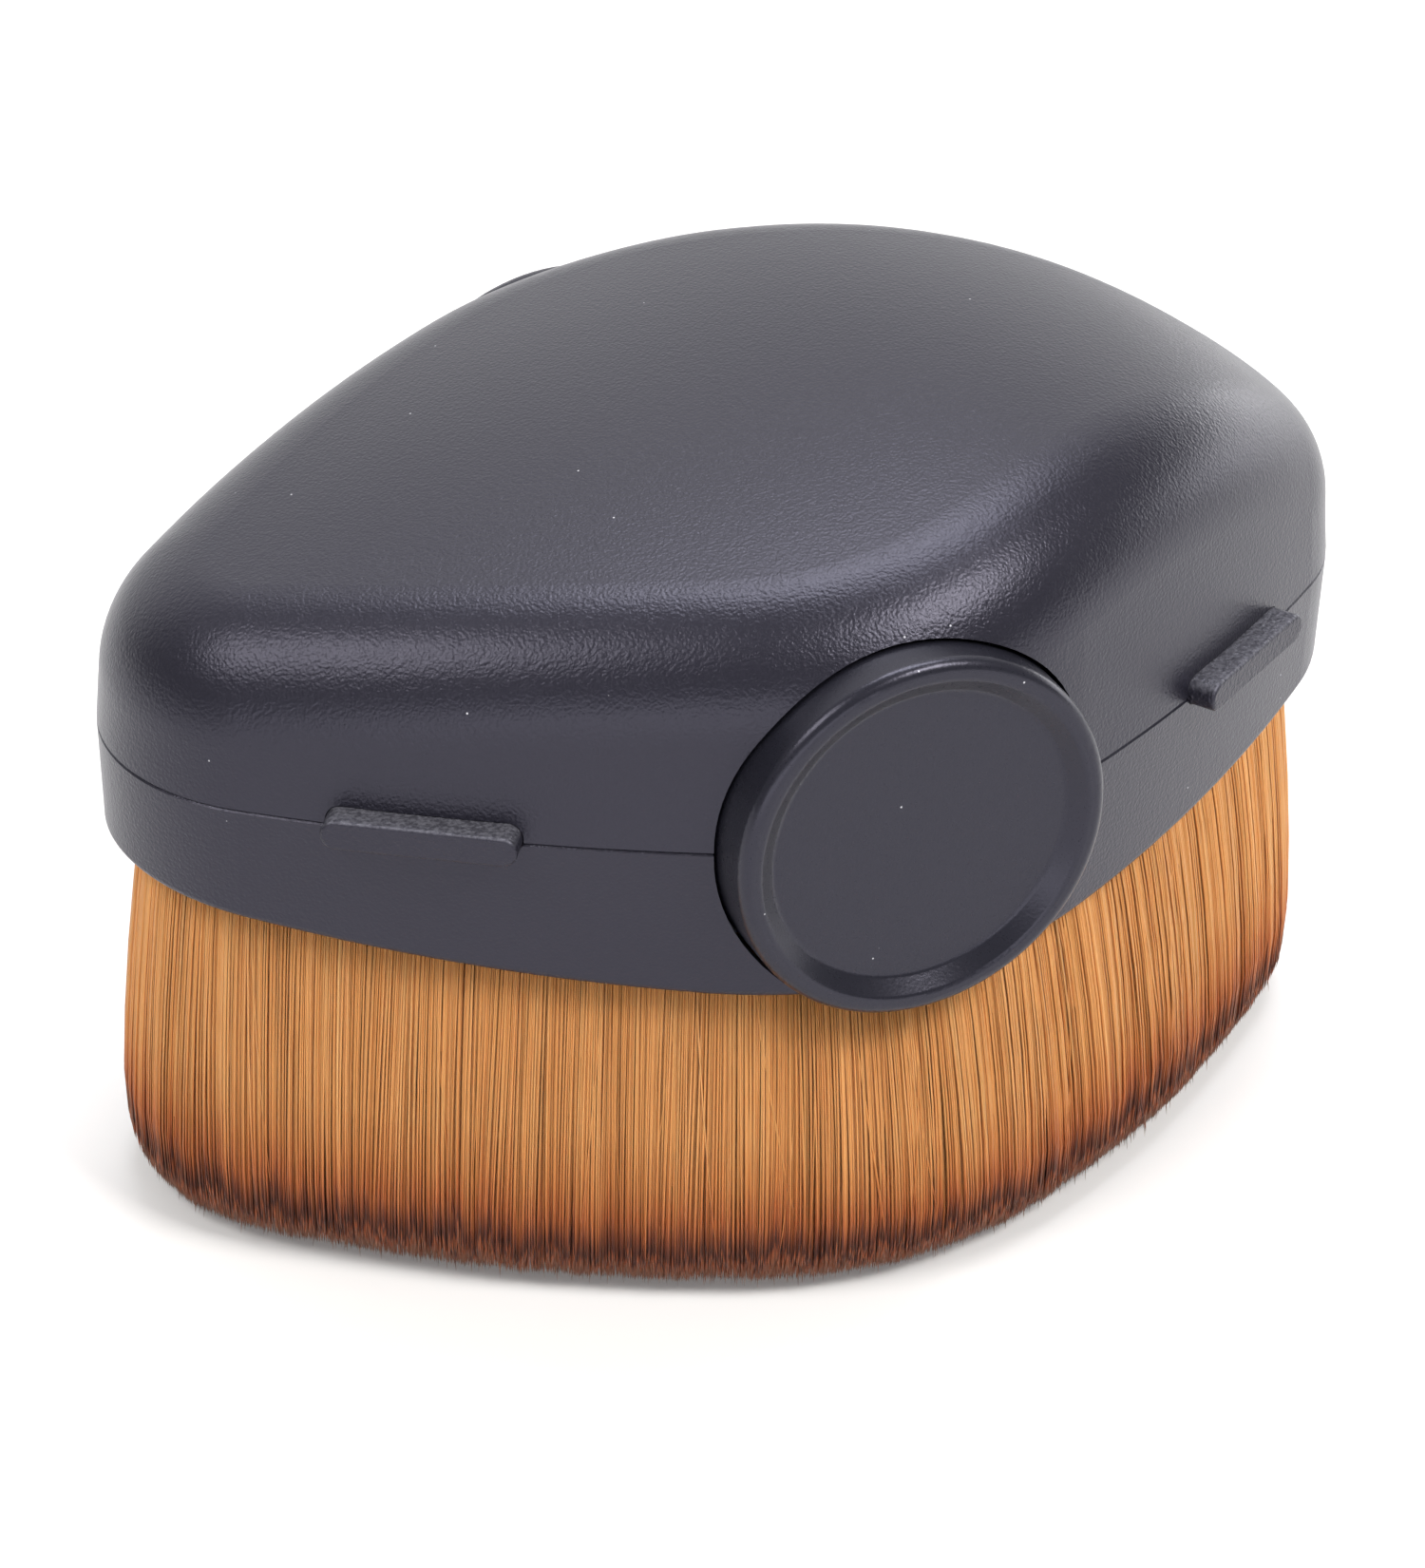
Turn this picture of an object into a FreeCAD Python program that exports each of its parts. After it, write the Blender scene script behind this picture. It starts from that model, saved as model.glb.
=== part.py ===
import FreeCAD, Part
import math
import os
from FreeCAD import Vector

os.makedirs("parts", exist_ok=True)

# Palm-held body brush: a leaf-shaped two-part casing, a press button on each broad side,
# and a clip-in brush head. Millimetres. The shapes are drawn about the seam plane (z = 0
# between the two shells) and lifted at the end, so that the finished part has its origin
# on the surface under the bristle tips. +X is the long axis, -Y the front button's side.

# Plan outline at the seam: a leaf of eight tangent arcs
HALF_LENGTH = 40.0
TIP_RADIUS = 12.2
TIP_SWEEP = 51.0            # degrees, each side of the X axis
FLANK_RADIUS = 125.0
FLANK_SWEEP = 12.8          # degrees

# Casing
WALL = 1.8
SKIRT_WALL = 1.6
UPPER_DRAFT = 0.07          # inset per millimetre above the seam
LOWER_DRAFT = 0.04          # inset per millimetre below the seam
# Roof line over the long axis: (x, height above the seam), humped towards the +X tip
ROOF_LINE = [(-52.0, 6.0), (-40.0, 9.4), (-27.0, 12.3), (-13.0, 15.1), (0.0, 17.1), (13.0, 18.3),
             (27.0, 15.4), (40.0, 6.8), (50.0, -3.0)]
ROOF_RADIUS_ACROSS = 115.0
ROOF_HALF_SPAN = 31.0
SHOULDER_RADIUS = 8.0
RIM_TIP_DROP = 6.7          # rim below the seam at the tips
RIM_MIDDLE_DROP = 10.2
RIM_ROUNDING = 0.5
SEAM_CHAMFER = 0.12
TONGUE_THICKNESS = 0.7
TONGUE_HEIGHT = 1.4
FIT_GAP = 0.05
DECK_THICKNESS = 2.4

# Brush head
SEAM_HEIGHT = 31.5          # seam above the bristle tips
HEAD_GAP = 0.1
HEAD_PLATE = 1.6
HEAD_INSET = 2.25
RING_WALL = 1.0
RING_ABOVE_RIM = 1.2        # ring edge this far above the casing rim
GLUE_DEPTH = 1.2
TENON_HALF_X = 8.0
TENON_HALF_Y = 2.5
TENON_TOP = 9.0
TENON_CHAMFER = 0.7
SLOT_GAP = 0.3
BRISTLE_ROOT_INSET = 2.6
BRISTLE_TIP_HALF_LENGTH = 39.2
BRISTLE_TIP_SWEEP = 50.2
BRISTLE_END_HEIGHT = 2.4
BRISTLE_END_INSET = 1.3

# Press buttons
BUTTON_RADIUS = 11.7
BUTTON_CREST = 27.9         # lip crest, from the long centre plane
BUTTON_DEPTH = 5.6
BUTTON_WALL = 1.3
BUTTON_TRAVEL = 2.0
LIP_ROUNDING = 0.75
DISH_RADIUS = 9.4
DISH_TOP_RADIUS = 10.5
DISH_DEPTH = 0.85
DISH_ROUNDING = 0.5
FACE_THICKNESS = 1.5
BUTTON_BOSS_RADIUS = 2.6
BUTTON_PILOT_DEPTH = 4.5
BUTTON_WEB = 1.2
WEB_REACH = 9.0
WELL_GAP = 0.25
WELL_START = 20.0           # from the long centre plane
COLLAR_WALL = 1.05
COLLAR_INNER_END = 23.7
COLLAR_OUTER_END = 27.2     # trimmed back to the inside of the wall

# Clamp: each button pulls a ring-shaped yoke whose rubber pad grips the tenon
DRIVE_HEIGHT = 6.5          # spring and screw axis above the seam
YOKE_HALF_X = 13.0
YOKE_RAIL = 3.0
YOKE_BAR = 2.0
YOKE_CORNER = 1.2
YOKE_THICKNESS = 2.0
FRONT_YOKE_LOW = 4.0
REAR_YOKE_LOW = 7.0
TAB_OUTER = 19.2
TAB_THICKNESS = 2.0
TAB_HALF_X = 6.0
TAB_LOW = 3.0
TAB_HIGH = 9.9
PAD_THICKNESS = 1.5
PAD_HALF_X = 7.0
PAD_PITCH = 1.4
PAD_GROOVE_WIDTH = 0.5
PAD_GROOVE_DEPTH = 0.3
SPRING_SEAT = 9.5
SPRING_RADIUS = 2.2
SPRING_WIRE = 0.45
SPRING_TURNS = 6.0

# Chassis and keeper
CHASSIS_THICKNESS = 1.6
CHASSIS_INSET = 2.9
GUIDE_TOP = 9.1
KEEPER_THICKNESS = 1.2
KEEPER_HALF_X = 19.6
KEEPER_HALF_Y = 13.5
KEEPER_POST = (16.9, 10.5)
KEEPER_POST_RADIUS = 2.2
KEEPER_CORNER = 2.6
PLATE_OVERLAP = 0.4         # uprights start this far inside the plate they stand on
SIDE_WALL_X = (13.15, 14.4)
SIDE_WALL_HALF_Y = 15.0
GUIDE_POST_X = (8.1, 9.7)
GUIDE_POST_HALF_Y = 3.2
YOKE_LEDGE_X = (10.2, 12.8)
YOKE_LEDGE_Y = (10.0, 15.0)
KEEPER_RIB_END = 13.2
SEAT_HALF_X = 4.0
SEAT_WALL = 1.2
SEAT_BOSS_RADIUS = 1.4
SEAT_BOSS_HEIGHT = 1.0
TENON_GAP = 0.08
KEEPER_PILOT_DEPTH = 6.0
SHELL_BOSS = (27.0, 6.0)
BOSS_RADIUS = 2.4
PILOT_RADIUS = 0.8
SHANK_RADIUS = 0.78
SCREW_HEAD_RADIUS = 1.7
SCREW_HEAD_HEIGHT = 1.0
SCREW_HEAD_ROUNDING = 0.35
SCREW_CROSS = (1.0, 0.2)    # half length and half width of the recess
SCREW_CROSS_DEPTH = 0.55
SHELL_SCREW_SEAT = -1.1
SHELL_SCREW_LENGTH = 8.5
SHORT_SCREW_LENGTH = 5.5
HOLE_GAP = 0.2

# Seam keys: stadium-shaped ribs through windows across the seam
KEY_X = 26.5
KEY_LENGTH = 11.6
KEY_HEIGHT = 1.9
KEY_PROUD = 1.6
KEY_LIFT = 0.3
KEY_FLANGE = 0.8
KEY_FLANGE_GAP = 0.4        # clears the wall's curve and draft
KEY_FLANGE_MARGIN = 0.9

ROOF_STATIONS = 24          # sampled along X
ROOF_STRIPS = 4             # sampled each side of the roof line
ABOVE_ALL = 40.0
X_AXIS = Vector(1, 0, 0)
Y_AXIS = Vector(0, 1, 0)
Z_AXIS = Vector(0, 0, 1)
ORIGIN = Vector(0, 0, 0)


def polar(centre, radius, degrees):
    angle = math.radians(degrees)
    return (centre[0] + radius * math.cos(angle), centre[1] + radius * math.sin(angle))


class Leaf:
    """Closed leaf outline, symmetric about X and Y, as (centre, radius, start, end) arcs."""

    def __init__(self, half_length, tip_radius, tip_sweep, flank_radius, flank_sweep):
        tip = (half_length - tip_radius, 0.0)
        joint = polar(tip, tip_radius, tip_sweep)
        flank = polar(joint, -flank_radius, tip_sweep)
        turned = tip_sweep + flank_sweep
        middle_start = polar(flank, flank_radius, turned)
        middle_radius = middle_start[0] / math.cos(math.radians(turned))
        middle = (0.0, middle_start[1] - middle_radius * math.sin(math.radians(turned)))
        self.flank_centre = flank
        self.flank_radius = flank_radius
        self.half_width = middle[1] + middle_radius
        self.arcs = [
            (tip, tip_radius, -tip_sweep, tip_sweep),
            (flank, flank_radius, tip_sweep, turned),
            (middle, middle_radius, turned, 180 - turned),
            ((-flank[0], flank[1]), flank_radius, 180 - turned, 180 - tip_sweep),
            ((-tip[0], 0.0), tip_radius, 180 - tip_sweep, 180 + tip_sweep),
            ((-flank[0], -flank[1]), flank_radius, 180 + tip_sweep, 180 + turned),
            ((0.0, -middle[1]), middle_radius, 180 + turned, 360 - turned),
            ((flank[0], -flank[1]), flank_radius, 360 - turned, 360 - tip_sweep),
        ]

    def wire(self, inset, z):
        edges = []
        for centre, radius, start, end in self.arcs:
            spots = [polar(centre, radius - inset, a) for a in (start, (start + end) / 2, end)]
            points = [Vector(x, y, z) for x, y in spots]
            edges.append(Part.Arc(*points).toShape())
        return Part.Wire(edges)

    def prism(self, low_inset, low_z, high_inset, high_z):
        sections = [self.wire(low_inset, low_z), self.wire(high_inset, high_z)]
        return Part.makeLoft(sections, True, True)

    def flank_point(self, x):
        """Point and outward angle of the flank at this x, in the +X +Y quarter."""
        angle = math.acos((x - self.flank_centre[0]) / self.flank_radius)
        y = self.flank_centre[1] + self.flank_radius * math.sin(angle)
        return Vector(x, y, 0), math.degrees(angle)


LEAF = Leaf(HALF_LENGTH, TIP_RADIUS, TIP_SWEEP, FLANK_RADIUS, FLANK_SWEEP)
BRISTLE_LEAF = Leaf(BRISTLE_TIP_HALF_LENGTH, TIP_RADIUS, BRISTLE_TIP_SWEEP,
                    FLANK_RADIUS, FLANK_SWEEP)


def box(low, high):
    size = [b - a for a, b in zip(low, high)]
    return Part.makeBox(*size, Vector(*low))


def fuse(first, *others):
    return first.multiFuse(list(others)).removeSplitter()


CORNERS = [(1, 1), (-1, 1), (-1, -1), (1, -1)]


def y_cylinder(radius, x, z, y_from, y_to):
    return Part.makeCylinder(radius, y_to - y_from, Vector(x, y_from, z), Y_AXIS)


def half_turn(shape):
    """The same piece on the rear side."""
    turned = shape.copy()
    turned.rotate(ORIGIN, Z_AXIS, 180)
    return turned


# Casing

def under_roof(inset):
    """Solid below the roof: the roof line swept across Y on a slight crown."""
    line = Part.BSplineCurve()
    line.interpolate([Vector(x, 0, z) for x, z in ROOF_LINE])
    across = math.asin(ROOF_HALF_SPAN / ROOF_RADIUS_ACROSS)
    rows = []
    for i in range(ROOF_STATIONS + 1):
        at = line.FirstParameter + (line.LastParameter - line.FirstParameter) * i / ROOF_STATIONS
        tangent = line.tangent(at)[0]
        up = Vector(-tangent.z, 0, tangent.x)
        row = []
        for j in range(-ROOF_STRIPS, ROOF_STRIPS + 1):
            turn = across * j / ROOF_STRIPS
            out = up * math.cos(turn) + Y_AXIS * math.sin(turn)
            centre = line.value(at) - up * ROOF_RADIUS_ACROSS
            row.append(centre + out * (ROOF_RADIUS_ACROSS - inset))
        rows.append(row)
    roof = Part.BSplineSurface()
    roof.interpolate(rows)
    return roof.toShape().extrude(Vector(0, 0, -ABOVE_ALL))


def upper_envelope(inset, low_z=0.0):
    """Drafted wall under the crowned roof, with the large rounded shoulder."""
    walls = LEAF.prism(inset + UPPER_DRAFT * low_z, low_z, inset + UPPER_DRAFT * 30.0, 30.0)
    body = walls.common(under_roof(inset))
    roof_edges = [e for e in body.Edges if min(v.Point.z for v in e.Vertexes) > low_z + 1.0
                  and e.BoundBox.ZLength < 6.0]
    return body.makeFillet(SHOULDER_RADIUS - inset, roof_edges)


def rim_cylinder(raise_by=0.0):
    """Large cylinder along Y whose underside is the arched lower rim."""
    sag = RIM_MIDDLE_DROP - RIM_TIP_DROP
    radius = (HALF_LENGTH ** 2 + sag ** 2) / (2 * sag)
    return y_cylinder(radius, 0, radius - RIM_MIDDLE_DROP + raise_by, -ABOVE_ALL, ABOVE_ALL)


def lower_envelope(inset, low_z=-12.0):
    return LEAF.prism(inset - LOWER_DRAFT * low_z, low_z, inset, 0.0)


def well_bores(extra=0.0, start=WELL_START):
    """The two round wells that the buttons travel in."""
    radius = BUTTON_RADIUS + WELL_GAP + extra
    return [y_cylinder(radius, 0, 0, *sorted((sy * start, sy * ABOVE_ALL))) for sy in (-1, 1)]


def well_collars():
    """Sleeves that guide the button barrels, as full rings."""
    outer = BUTTON_RADIUS + WELL_GAP + COLLAR_WALL
    return [y_cylinder(outer, 0, 0, *sorted((sy * COLLAR_INNER_END, sy * COLLAR_OUTER_END)))
            for sy in (-1, 1)]


def stadium(length, height, depth_from, depth_to):
    """Stadium bar lying along X, extruded along Y."""
    half = (length - height) / 2
    flat = box((-half, depth_from, -height / 2), (half, depth_to, height / 2))
    ends = [y_cylinder(height / 2, sx * half, 0, depth_from, depth_to) for sx in (-1, 1)]
    return fuse(flat, *ends)


def at_key(shape, sx, sy):
    """Set a shape drawn with +Y outwards onto the flank in the given quarter."""
    point, angle = LEAF.flank_point(KEY_X)
    placed = shape.copy()
    placed.rotate(ORIGIN, Z_AXIS, angle - 90)
    placed.translate(point + Vector(0, 0, KEY_LIFT))
    if sx < 0:
        placed = placed.mirror(ORIGIN, X_AXIS)
    if sy < 0:
        placed = placed.mirror(ORIGIN, Y_AXIS)
    return placed


def key_windows():
    window = stadium(KEY_LENGTH + 2 * FIT_GAP, KEY_HEIGHT + 2 * FIT_GAP, -4.0, 2.0)
    pocket = stadium(KEY_LENGTH + 2 * KEY_FLANGE_MARGIN + 0.4,
                     KEY_HEIGHT + 2 * KEY_FLANGE_MARGIN + 0.4, -4.5, -WALL)
    return ([at_key(window, sx, sy) for sx, sy in CORNERS],
            [at_key(pocket, sx, sy) for sx, sy in CORNERS])


def seam_key(sx, sy):
    """Rib that stands out of the seam, with a flange behind the wall."""
    bar = stadium(KEY_LENGTH, KEY_HEIGHT, -WALL - KEY_FLANGE_GAP - 0.1, KEY_PROUD)
    front_edges = [e for e in bar.Edges
                   if min(v.Point.y for v in e.Vertexes) > KEY_PROUD - 0.01]
    bar = bar.makeFillet(0.22, front_edges)
    flange = stadium(KEY_LENGTH + 2 * KEY_FLANGE_MARGIN, KEY_HEIGHT + 2 * KEY_FLANGE_MARGIN,
                     -WALL - KEY_FLANGE_GAP - KEY_FLANGE, -WALL - KEY_FLANGE_GAP)
    return at_key(fuse(bar, flange), sx, sy)


def seam_relief(side):
    """Sliver to cut off an outer edge at the seam, on the upper (1) or lower (-1) side."""
    around = LEAF.prism(-2.0, 0.0, -2.0, side * SEAM_CHAMFER)
    return around.cut(LEAF.prism(SEAM_CHAMFER, 0.0, 0.0, side * SEAM_CHAMFER))


def make_upper_shell():
    shell = upper_envelope(0.0).cut(upper_envelope(WALL)).cut(seam_relief(1))
    room = upper_envelope(WALL / 2)
    bosses = [Part.makeCylinder(BOSS_RADIUS, ABOVE_ALL, Vector(sx * SHELL_BOSS[0],
              sy * SHELL_BOSS[1], CHASSIS_THICKNESS), Z_AXIS).common(room) for sx, sy in CORNERS]
    pilots = [Part.makeCylinder(PILOT_RADIUS, 8.0, Vector(sx * SHELL_BOSS[0],
              sy * SHELL_BOSS[1], CHASSIS_THICKNESS), Z_AXIS) for sx, sy in CORNERS]
    above = box((-ABOVE_ALL, -ABOVE_ALL, 0), (ABOVE_ALL, ABOVE_ALL, ABOVE_ALL))
    collars = [c.common(above).common(room) for c in well_collars()]
    windows, _ = key_windows()
    shell = fuse(shell, *bosses, *collars)
    return shell.cut(Part.makeCompound(pilots + well_bores() + windows))


def make_lower_shell():
    outer = lower_envelope(0.0).common(rim_cylinder())
    rim = [e for e in outer.Edges if max(v.Point.z for v in e.Vertexes) < -RIM_TIP_DROP + 1.0
           and e.BoundBox.ZMax < -RIM_TIP_DROP + 0.2]
    outer = outer.makeFillet(RIM_ROUNDING, rim)
    skirt = outer.cut(LEAF.prism(SKIRT_WALL + LOWER_DRAFT * 12.0, -12.0, SKIRT_WALL,
                                 -DECK_THICKNESS)).cut(seam_relief(-1))
    below = box((-ABOVE_ALL, -ABOVE_ALL, -ABOVE_ALL), (ABOVE_ALL, ABOVE_ALL, 0))
    room = lower_envelope(WALL / 2).common(rim_cylinder(0.6))
    collars = [c.common(below).common(room) for c in well_collars()]
    tongue = LEAF.prism(WALL + FIT_GAP, 0.0, WALL + FIT_GAP + 0.1, TONGUE_HEIGHT).cut(
        LEAF.prism(WALL + TONGUE_THICKNESS, 0.0, WALL + TONGUE_THICKNESS + 0.1, TONGUE_HEIGHT))
    windows, pockets = key_windows()
    tongue = tongue.cut(Part.makeCompound(pockets + well_bores(COLLAR_WALL + 0.2)))
    shell = fuse(skirt, tongue, *collars)
    slot_x, slot_y = TENON_HALF_X + SLOT_GAP, TENON_HALF_Y + SLOT_GAP
    slot = box((-slot_x, -slot_y, -DECK_THICKNESS - 1), (slot_x, slot_y, 1))
    head_seats = []
    below = -DECK_THICKNESS - 0.6
    for sx, sy in CORNERS:
        spot = Vector(sx * SHELL_BOSS[0], sy * SHELL_BOSS[1], below)
        head_seats.append(Part.makeCylinder(PILOT_RADIUS + HOLE_GAP, 1 - below, spot, Z_AXIS))
        head_seats.append(Part.makeCylinder(SCREW_HEAD_RADIUS + HOLE_GAP,
                                            SHELL_SCREW_SEAT - below, spot, Z_AXIS))
    return shell.cut(Part.makeCompound(well_bores() + windows + pockets + [slot] + head_seats))


# Mechanism

def side_box(side, x, y, low_z, high_z):
    """Box over the x range on one side of the tenon, with the y range as given."""
    near, far = sorted((side * x[0], side * x[1]))
    return box((near, min(y), low_z), (far, max(y), high_z))


def make_chassis():
    """Carrier plate with the guides for both yokes and the seats of the springs."""
    plate = LEAF.prism(CHASSIS_INSET, 0.0, CHASSIS_INSET, CHASSIS_THICKNESS)
    top = CHASSIS_THICKNESS - PLATE_OVERLAP
    parts = []
    for sx in (-1, 1):
        parts.append(side_box(sx, SIDE_WALL_X, (-SIDE_WALL_HALF_Y, SIDE_WALL_HALF_Y), top,
                              GUIDE_TOP))
        parts.append(side_box(sx, GUIDE_POST_X, (-GUIDE_POST_HALF_Y, GUIDE_POST_HALF_Y), top,
                              GUIDE_TOP))
    for sy, yoke_low in ((-1, FRONT_YOKE_LOW), (1, REAR_YOKE_LOW)):
        inner, outer = sorted((sy * SPRING_SEAT, sy * (SPRING_SEAT - SEAT_WALL)))
        parts.append(box((-SEAT_HALF_X, inner, top), (SEAT_HALF_X, outer, GUIDE_TOP)))
        boss = sorted((sy * (SPRING_SEAT - SEAT_WALL / 2), sy * (SPRING_SEAT + SEAT_BOSS_HEIGHT)))
        parts.append(y_cylinder(SEAT_BOSS_RADIUS, 0, DRIVE_HEIGHT, *boss))
        ledge_y = [sy * y for y in YOKE_LEDGE_Y]
        parts += [side_box(sx, YOKE_LEDGE_X, ledge_y, top, yoke_low - FIT_GAP) for sx in (-1, 1)]
    for sx, sy in CORNERS:
        post = Vector(sx * KEEPER_POST[0], sy * KEEPER_POST[1], top)
        parts.append(Part.makeCylinder(KEEPER_POST_RADIUS, GUIDE_TOP - top, post, Z_AXIS))
    half_x, half_y = TENON_HALF_X + TENON_GAP, TENON_HALF_Y + TENON_GAP
    holes = [box((-half_x, -half_y, -1), (half_x, half_y, CHASSIS_THICKNESS + 1))]
    holes += well_bores(0.3, WELL_START - 0.2)
    for sx, sy in CORNERS:
        shell_hole = Vector(sx * SHELL_BOSS[0], sy * SHELL_BOSS[1], -1)
        pilot = Vector(sx * KEEPER_POST[0], sy * KEEPER_POST[1], GUIDE_TOP - KEEPER_PILOT_DEPTH)
        holes.append(Part.makeCylinder(PILOT_RADIUS + HOLE_GAP, CHASSIS_THICKNESS + 2,
                                       shell_hole, Z_AXIS))
        holes.append(Part.makeCylinder(PILOT_RADIUS, KEEPER_PILOT_DEPTH + 1, pilot, Z_AXIS))
    _, pockets = key_windows()
    return fuse(plate, *parts).cut(Part.makeCompound(holes + pockets))


def make_keeper():
    """Cover over the yokes, with ribs that hold the lower yoke down."""
    low = GUIDE_TOP + FIT_GAP
    plate = box((-KEEPER_HALF_X, -KEEPER_HALF_Y, low), (KEEPER_HALF_X, KEEPER_HALF_Y,
                low + KEEPER_THICKNESS))
    upright = [e for e in plate.Edges if abs(e.Vertexes[0].Point.z - e.Vertexes[1].Point.z) > 1]
    plate = plate.makeFillet(KEEPER_CORNER, upright)
    ribs = [side_box(sx, YOKE_LEDGE_X, (-KEEPER_RIB_END, -YOKE_LEDGE_Y[0]),
                     FRONT_YOKE_LOW + YOKE_THICKNESS + 2 * FIT_GAP, low + PLATE_OVERLAP)
            for sx in (-1, 1)]
    holes = [Part.makeCylinder(PILOT_RADIUS + HOLE_GAP, KEEPER_THICKNESS + 2, Vector(
             sx * KEEPER_POST[0], sy * KEEPER_POST[1], low - 1), Z_AXIS) for sx, sy in CORNERS]
    return fuse(plate, *ribs).cut(Part.makeCompound(holes))


def screw(length):
    """Pan-head screw, head underside at the origin, shank along +Z, cross recess."""
    head = Part.makeCylinder(SCREW_HEAD_RADIUS, SCREW_HEAD_HEIGHT,
                             Vector(0, 0, -SCREW_HEAD_HEIGHT), Z_AXIS)
    rim = [e for e in head.Edges if abs(e.BoundBox.ZMax + SCREW_HEAD_HEIGHT) < 0.01]
    head = head.makeFillet(SCREW_HEAD_ROUNDING, rim)
    shank = Part.makeCylinder(SHANK_RADIUS, length, Vector(0, 0, -0.1), Z_AXIS)
    floor_z, recess_z = -SCREW_HEAD_HEIGHT - 0.1, -SCREW_HEAD_HEIGHT + SCREW_CROSS_DEPTH
    long, wide = SCREW_CROSS
    cross = [box((-long, -wide, floor_z), (long, wide, recess_z)),
             box((-wide, -long, floor_z), (wide, long, recess_z))]
    return fuse(head, shank).cut(Part.makeCompound(cross))


def make_shell_screws():
    """Up through the deck and chassis into the upper shell's bosses."""
    fixing = screw(SHELL_SCREW_LENGTH)
    return Part.makeCompound([moved(fixing, sx * SHELL_BOSS[0], sy * SHELL_BOSS[1],
                                    SHELL_SCREW_SEAT) for sx, sy in CORNERS])


def moved(shape, x, y, z):
    placed = shape.copy()
    placed.translate(Vector(x, y, z))
    return placed


def make_keeper_screws():
    down = screw(SHORT_SCREW_LENGTH)
    down.rotate(ORIGIN, X_AXIS, 180)
    top = GUIDE_TOP + FIT_GAP + KEEPER_THICKNESS
    return Part.makeCompound([moved(down, sx * KEEPER_POST[0], sy * KEEPER_POST[1], top)
                              for sx, sy in CORNERS])


def make_front_button():
    """Dished press cap with a barrel, stiffening webs and a screw boss, facing -Y."""
    back = BUTTON_CREST - BUTTON_DEPTH
    dish = BUTTON_CREST - DISH_DEPTH
    inner = BUTTON_RADIUS - BUTTON_WALL
    bend = LIP_ROUNDING * (1 - math.sqrt(0.5))
    lip_start = Vector(BUTTON_RADIUS, -(BUTTON_CREST - LIP_ROUNDING), 0)
    lip_middle = Vector(BUTTON_RADIUS - bend, -(BUTTON_CREST - bend), 0)
    lip_end = Vector(BUTTON_RADIUS - LIP_ROUNDING, -BUTTON_CREST, 0)
    crest_end = Vector(DISH_TOP_RADIUS, -BUTTON_CREST, 0)
    corners = [crest_end, Vector(DISH_RADIUS, -dish, 0), Vector(0, -dish, 0),
               Vector(0, -(dish - FACE_THICKNESS), 0), Vector(inner, -(dish - FACE_THICKNESS), 0),
               Vector(inner, -back, 0), Vector(BUTTON_RADIUS, -back, 0), lip_start]
    edges = [Part.Arc(lip_start, lip_middle, lip_end).toShape(),
             Part.LineSegment(lip_end, crest_end).toShape()]
    profile = Part.Wire(edges + Part.makePolygon(corners).Edges)
    cap = Part.Face(profile).revolve(ORIGIN, Y_AXIS, 360)
    dish_rims = [e for e in cap.Edges if isinstance(e.Curve, Part.Circle)
                 and (abs(e.Curve.Radius - DISH_TOP_RADIUS) < 0.01
                      or (abs(e.Curve.Radius - DISH_RADIUS) < 0.01))]
    cap = cap.makeFillet(DISH_ROUNDING, dish_rims)
    face = dish - 0.5
    boss = y_cylinder(BUTTON_BOSS_RADIUS, 0, DRIVE_HEIGHT, -face, -TAB_OUTER)
    web = BUTTON_WEB / 2
    webs = [box((-web, -face, -WEB_REACH), (web, -back, DRIVE_HEIGHT)),
            box((-inner - 0.2, -face, -web), (inner + 0.2, -back, web))]
    cap = fuse(cap, boss, *webs)
    return cap.cut(y_cylinder(PILOT_RADIUS, 0, DRIVE_HEIGHT, -(TAB_OUTER + BUTTON_PILOT_DEPTH),
                              -TAB_OUTER + 1))


def make_yoke(low):
    """Ring round the tenon, drawn for the front button."""
    high = low + YOKE_THICKNESS
    tab_inner = -(TAB_OUTER - TAB_THICKNESS)
    bar_inner = TENON_HALF_Y + FIT_GAP + PAD_THICKNESS
    bar_outer = bar_inner + YOKE_BAR
    frame = box((-YOKE_HALF_X, -TAB_OUTER, low), (YOKE_HALF_X, bar_outer, high))
    inside = YOKE_HALF_X - YOKE_RAIL
    frame = frame.cut(box((-inside, tab_inner, low - 1), (inside, bar_inner, high + 1)))
    upright = [e for e in frame.Edges if e.BoundBox.ZLength > 1
               and abs(abs(e.Vertexes[0].Point.x) - YOKE_HALF_X) < 0.01]
    frame = frame.makeFillet(YOKE_CORNER, upright)
    tab = box((-TAB_HALF_X, -TAB_OUTER, TAB_LOW), (TAB_HALF_X, tab_inner, TAB_HIGH))
    hole = y_cylinder(PILOT_RADIUS + 0.1, 0, DRIVE_HEIGHT, -ABOVE_ALL, 0)
    return fuse(frame, tab).cut(hole)


def make_pad(low):
    """Rubber grip pad between yoke and tenon, with shallow ribs."""
    face = TENON_HALF_Y + FIT_GAP
    pad = box((-PAD_HALF_X, face, low), (PAD_HALF_X, face + PAD_THICKNESS, low + YOKE_THICKNESS))
    half, deep = PAD_GROOVE_WIDTH / 2, face + PAD_GROOVE_DEPTH
    grooves = [box((i * PAD_PITCH - half, face - 1, low - 1), (i * PAD_PITCH + half, deep,
                   low + YOKE_THICKNESS + 1)) for i in range(-4, 5)]
    return pad.cut(Part.makeCompound(grooves))


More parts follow.
